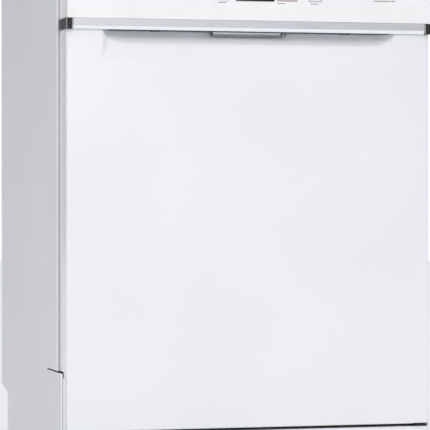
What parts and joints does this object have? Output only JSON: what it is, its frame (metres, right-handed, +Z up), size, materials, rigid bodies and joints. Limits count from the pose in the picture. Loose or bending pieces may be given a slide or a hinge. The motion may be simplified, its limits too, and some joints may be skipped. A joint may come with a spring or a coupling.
{
  "type": "built-in dishwasher",
  "caption": "Under-counter dishwasher with drop-down door, recessed handle, control strip, sliding racks, spray arms, sump and levelling feet.",
  "frame": {"origin": "on the floor, at the middle of the appliance's footprint", "axes": "+Z up, +X to the right seen from the front, the door faces -Y"},
  "size_m": [0.598, 0.555, 0.82],
  "materials": {
    "white_enamel": "gloss white enamel",
    "coated_steel": "satin coated sheet steel",
    "white_plastic": "moulded white plastic",
    "pink_grey_plastic": "moulded warm grey plastic",
    "grey_plastic": "moulded grey plastic",
    "dark_plastic": "moulded dark plastic",
    "blue_grey_plastic": "moulded blue grey plastic",
    "satin_trim": "satin",
    "stainless": "brushed",
    "zinc_steel": "zinc plated",
    "rubber": "matte",
    "black_glass": "gloss",
    "coated_wire": "nylon coated wire"
  },
  "bodies": {
    "cabinet": {"plinth": "white_enamel", "side_panel_left": "coated_steel", "side_panel_right": "coated_steel", "rear_panel": "coated_steel", "water_feed_pipe": "white_plastic", "salt_reservoir": "white_plastic", "hose_connector": "white_plastic", "base_tray": "grey_plastic", "sump_housing": "grey_plastic", "circulation_pump": "grey_plastic", "drain_pump": "dark_plastic", "tub_side_left": "stainless", "tub_side_right": "stainless", "tub_top": "stainless", "tub_back": "stainless", "tub_floor": "stainless", "filter_plate": "stainless", "top_front_rail": "zinc_steel", "hinge_bracket_left": "zinc_steel", "hinge_bracket_right": "zinc_steel", "door_spring_left": "zinc_steel", "door_spring_right": "zinc_steel", "door_gasket": "rubber"},
    "door": {"door_outer_panel": "white_enamel", "door_inner_liner": "stainless", "control_panel": "white_plastic", "trim_strip": "satin_trim", "trim_cap_left": "dark_plastic", "trim_cap_right": "dark_plastic", "hinge_arm_left": "zinc_steel", "hinge_arm_right": "zinc_steel", "display_window": "black_glass", "dispenser_body": "grey_plastic", "latch_housing": "dark_plastic"},
    "power_button": {"power_button": "white_plastic"},
    "programme_button": {"programme_button": "white_plastic"},
    "option_button": {"option_button": "pink_grey_plastic"},
    "start_button": {"start_button": "white_plastic"},
    "dispenser_lid": {"dispenser_lid": "grey_plastic"},
    "rinse_cap": {"rinse_cap": "blue_grey_plastic"},
    "latch_lever": {"latch_lever": "grey_plastic"},
    "lower_rack": {"lower_rack": "coated_wire"},
    "cutlery_basket": {"cutlery_basket": "grey_plastic"},
    "wheel_front_left": {"wheel_front_left": "grey_plastic"},
    "wheel_front_right": {"wheel_front_right": "grey_plastic"},
    "wheel_rear_left": {"wheel_rear_left": "grey_plastic"},
    "wheel_rear_right": {"wheel_rear_right": "grey_plastic"},
    "upper_rack": {"upper_rack": "coated_wire"},
    "cup_shelf_left": {"cup_shelf_left": "coated_wire"},
    "cup_shelf_right": {"cup_shelf_right": "coated_wire"},
    "upper_rails": {"upper_rail_left": "stainless", "upper_rail_right": "stainless"},
    "upper_spray_arm": {"upper_spray_arm": "grey_plastic"},
    "lower_spray_arm": {"lower_spray_arm": "grey_plastic"},
    "filter_cylinder": {"filter_cylinder": "grey_plastic"},
    "salt_cap": {"salt_cap": "blue_grey_plastic"},
    "foot_front_left": {"foot_front_left": "dark_plastic"},
    "foot_front_right": {"foot_front_right": "dark_plastic"},
    "foot_rear_left": {"foot_rear_left": "dark_plastic"},
    "foot_rear_right": {"foot_rear_right": "dark_plastic"}
  },
  "joints": [
    {"name": "door_hinge", "type": "hinge", "parent": "cabinet", "child": "door", "pos_m": [0, -0.26, 0.084], "axis": [1, 0, 0], "range_deg": [0, 90]},
    {"name": "lower_rack_slide", "type": "slide", "parent": "cabinet", "child": "lower_rack", "axis": [0, -1, 0], "range_m": [0, 0.1132]},
    {"name": "upper_rack_slide", "type": "slide", "parent": "cabinet", "child": "upper_rack", "axis": [0, -1, 0], "range_m": [0, 0.3771]},
    {"name": "upper_rail_slide", "type": "slide", "parent": "cabinet", "child": "upper_rails", "axis": [0, -1, 0], "range_m": [0, 0.1886]},
    {"name": "lower_spray_spin", "type": "hinge", "parent": "cabinet", "child": "lower_spray_arm", "pos_m": [0, 0.005, 0.14], "axis": [0, 0, 1], "continuous": true},
    {"name": "upper_spray_spin", "type": "hinge", "parent": "upper_rack", "child": "upper_spray_arm", "pos_m": [0, 0.005, 0.44], "axis": [0, 0, 1], "continuous": true},
    {"name": "dispenser_lid_slide", "type": "slide", "parent": "door", "child": "dispenser_lid", "axis": [0, 0, -1], "range_m": [0, 0.05]},
    {"name": "rinse_cap_hinge", "type": "hinge", "parent": "door", "child": "rinse_cap", "pos_m": [0.044, -0.2145, 0.396], "axis": [1, 0, 0], "range_deg": [0, 95]},
    {"name": "latch_lever_pull", "type": "hinge", "parent": "door", "child": "latch_lever", "pos_m": [0, -0.259, 0.697], "axis": [-1, 0, 0], "range_deg": [0, 18], "stiffness_Nm_per_rad": 0.8},
    {"name": "power_button_press", "type": "slide", "parent": "door", "child": "power_button", "axis": [0, 1, 0], "range_m": [0, 0.0012], "stiffness_N_per_m": 600},
    {"name": "programme_button_press", "type": "slide", "parent": "door", "child": "programme_button", "axis": [0, 1, 0], "range_m": [0, 0.0012], "stiffness_N_per_m": 600},
    {"name": "option_button_press", "type": "slide", "parent": "door", "child": "option_button", "axis": [0, 1, 0], "range_m": [0, 0.0012], "stiffness_N_per_m": 600},
    {"name": "start_button_press", "type": "slide", "parent": "door", "child": "start_button", "axis": [0, 1, 0], "range_m": [0, 0.0012], "stiffness_N_per_m": 600},
    {"name": "cutlery_basket_lift", "type": "slide", "parent": "lower_rack", "child": "cutlery_basket", "axis": [0, 0, 1], "range_m": [0, 0.14]},
    {"name": "cup_shelf_left_fold", "type": "hinge", "parent": "upper_rack", "child": "cup_shelf_left", "pos_m": [-0.241, 0.005, 0.54], "axis": [0, -1, 0], "range_deg": [0, 86]},
    {"name": "cup_shelf_right_fold", "type": "hinge", "parent": "upper_rack", "child": "cup_shelf_right", "pos_m": [0.241, 0.005, 0.54], "axis": [0, 1, 0], "range_deg": [0, 86]},
    {"name": "wheel_front_left_roll", "type": "hinge", "parent": "lower_rack", "child": "wheel_front_left", "pos_m": [-0.256, -0.165, 0.1476], "axis": [1, 0, 0], "range_deg": [0, 400]},
    {"name": "wheel_front_right_roll", "type": "hinge", "parent": "lower_rack", "child": "wheel_front_right", "pos_m": [0.256, -0.165, 0.1476], "axis": [1, 0, 0], "range_deg": [0, 400]},
    {"name": "wheel_rear_left_roll", "type": "hinge", "parent": "lower_rack", "child": "wheel_rear_left", "pos_m": [-0.256, 0.175, 0.1476], "axis": [1, 0, 0], "range_deg": [0, 400]},
    {"name": "wheel_rear_right_roll", "type": "hinge", "parent": "lower_rack", "child": "wheel_rear_right", "pos_m": [0.256, 0.175, 0.1476], "axis": [1, 0, 0], "range_deg": [0, 400]},
    {"name": "filter_cylinder_turn", "type": "hinge", "parent": "cabinet", "child": "filter_cylinder", "pos_m": [0.06, -0.075, 0.13], "axis": [0, 0, 1], "range_deg": [0, 60]},
    {"name": "salt_cap_turn", "type": "hinge", "parent": "cabinet", "child": "salt_cap", "pos_m": [-0.13, 0.11, 0.13], "axis": [0, 0, 1], "continuous": true},
    {"name": "foot_front_left_turn", "type": "hinge", "parent": "cabinet", "child": "foot_front_left", "pos_m": [-0.259, -0.184, 0], "axis": [0, 0, 1], "continuous": true},
    {"name": "foot_front_right_turn", "type": "hinge", "parent": "cabinet", "child": "foot_front_right", "pos_m": [0.259, -0.184, 0], "axis": [0, 0, 1], "continuous": true},
    {"name": "foot_rear_left_turn", "type": "hinge", "parent": "cabinet", "child": "foot_rear_left", "pos_m": [-0.259, 0.1845, 0], "axis": [0, 0, 1], "continuous": true},
    {"name": "foot_rear_right_turn", "type": "hinge", "parent": "cabinet", "child": "foot_rear_right", "pos_m": [0.259, 0.1845, 0], "axis": [0, 0, 1], "continuous": true}
  ],
  "couplings": [
    {"joint": "lower_rack_slide", "follows": "door_hinge", "m_per_rad": 0.072},
    {"joint": "upper_rack_slide", "follows": "door_hinge", "m_per_rad": 0.24},
    {"joint": "upper_rail_slide", "follows": "door_hinge", "m_per_rad": 0.12},
    {"joint": "wheel_front_left_roll", "follows": "door_hinge", "ratio": 4.2353},
    {"joint": "wheel_front_right_roll", "follows": "door_hinge", "ratio": 4.2353},
    {"joint": "wheel_rear_left_roll", "follows": "door_hinge", "ratio": 4.2353},
    {"joint": "wheel_rear_right_roll", "follows": "door_hinge", "ratio": 4.2353}
  ]
}
